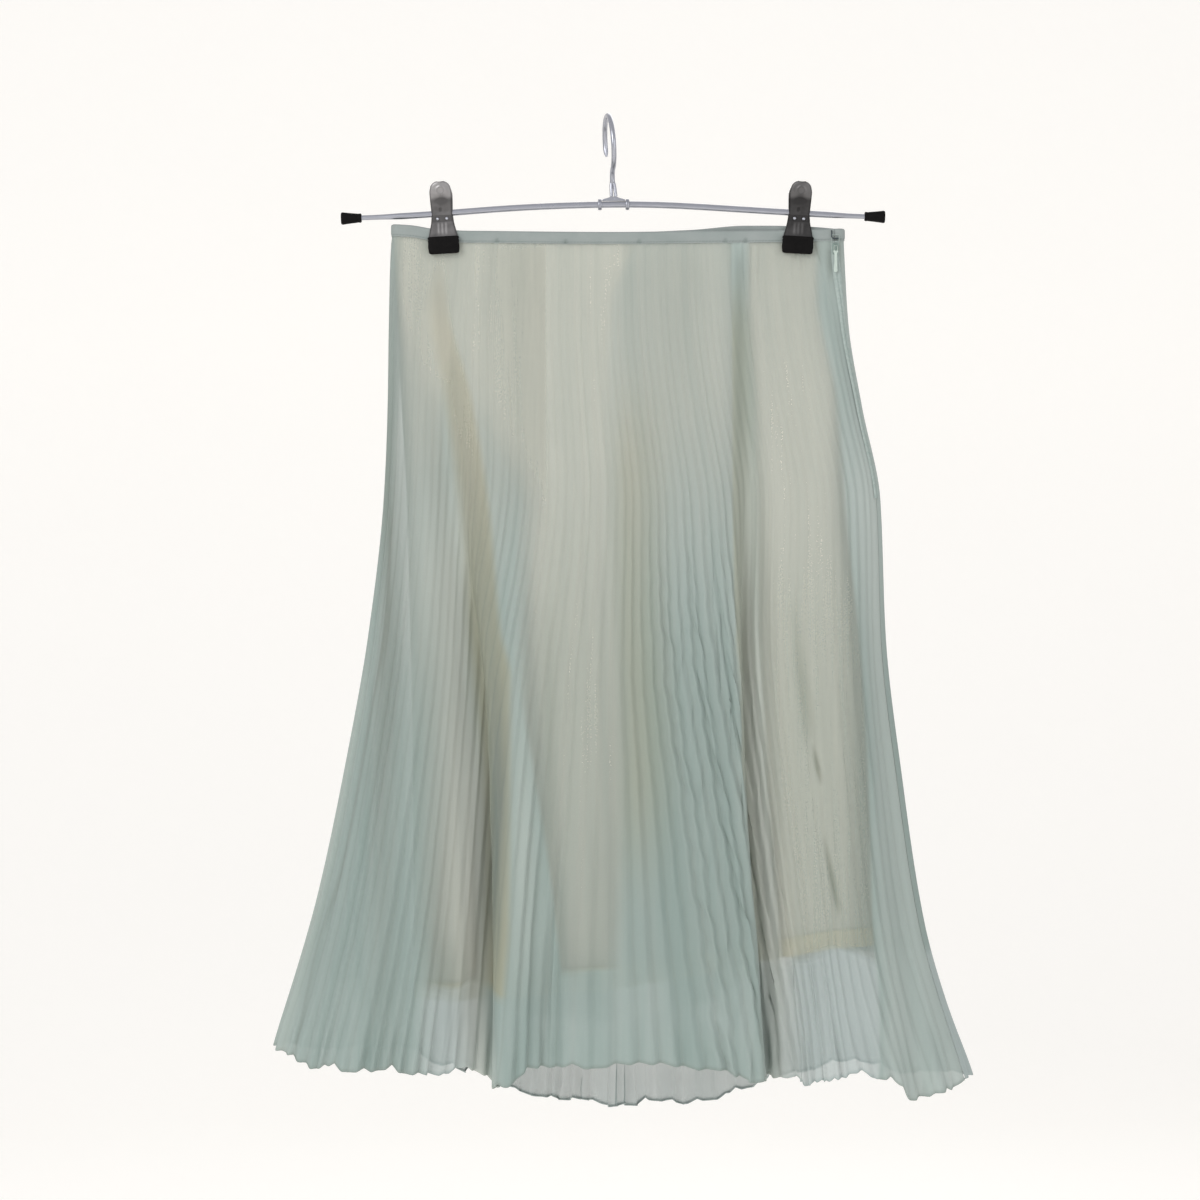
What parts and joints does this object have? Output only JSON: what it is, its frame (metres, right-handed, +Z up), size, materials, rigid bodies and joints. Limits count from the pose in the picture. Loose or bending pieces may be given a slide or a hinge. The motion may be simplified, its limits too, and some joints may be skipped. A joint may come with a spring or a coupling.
{
  "type": "pleated skirt on a clip hanger",
  "caption": "Knee-length flared skirt in sheer accordion-pleated chiffon over a plain satin lining, with a narrow waistband and a side zip, clipped by its waist to a wire hanger.",
  "frame": {"origin": "underside of the hook's crown, where it rests on a rail", "axes": "+Z up, +X to the right as the front is seen, and the skirt's front faces -Y"},
  "size_m": [0.5522, 0.1284, 0.7884],
  "materials": {
    "chiffon": "sheer pale sage chiffon, heat-set accordion pleats",
    "slip": "cream satin lining with a soft sheen",
    "band": "doubled chiffon over a firm tape",
    "wire": "bright plated steel wire",
    "plate": "plated pressed steel, worn bright on its edges",
    "vinyl": "soft black vinyl",
    "zip": "pale green enamel and tape"
  },
  "bodies": {
    "skirt": {"outer_front": "chiffon", "outer_back": "chiffon", "lining_front": "slip", "lining_back": "slip", "waistband": "band", "zip_tape": "zip", "zip_slider": "zip", "waist_hook": "plate", "hanger_bar": "wire", "bar_cap_left": "vinyl", "bar_cap_right": "vinyl", "hook": "wire", "hook_saddle": "wire", "hook_collar_left": "wire", "hook_collar_right": "wire", "clip_left_plate_front": "plate", "clip_left_plate_back": "plate", "clip_left_pad_front": "vinyl", "clip_left_pad_back": "vinyl", "clip_left_spring": "wire", "clip_right_plate_front": "plate", "clip_right_plate_back": "plate", "clip_right_pad_front": "vinyl", "clip_right_pad_back": "vinyl", "clip_right_spring": "wire"},
    "pull_tab": {"zip_pull": "zip"}
  },
  "joints": [
    {"name": "pull_tab_swing", "type": "hinge", "parent": "skirt", "child": "pull_tab", "pos_m": [0.17981, -0.00916, -0.10138], "axis": [-1, 0, 0], "range_deg": [0, 160]}
  ]
}
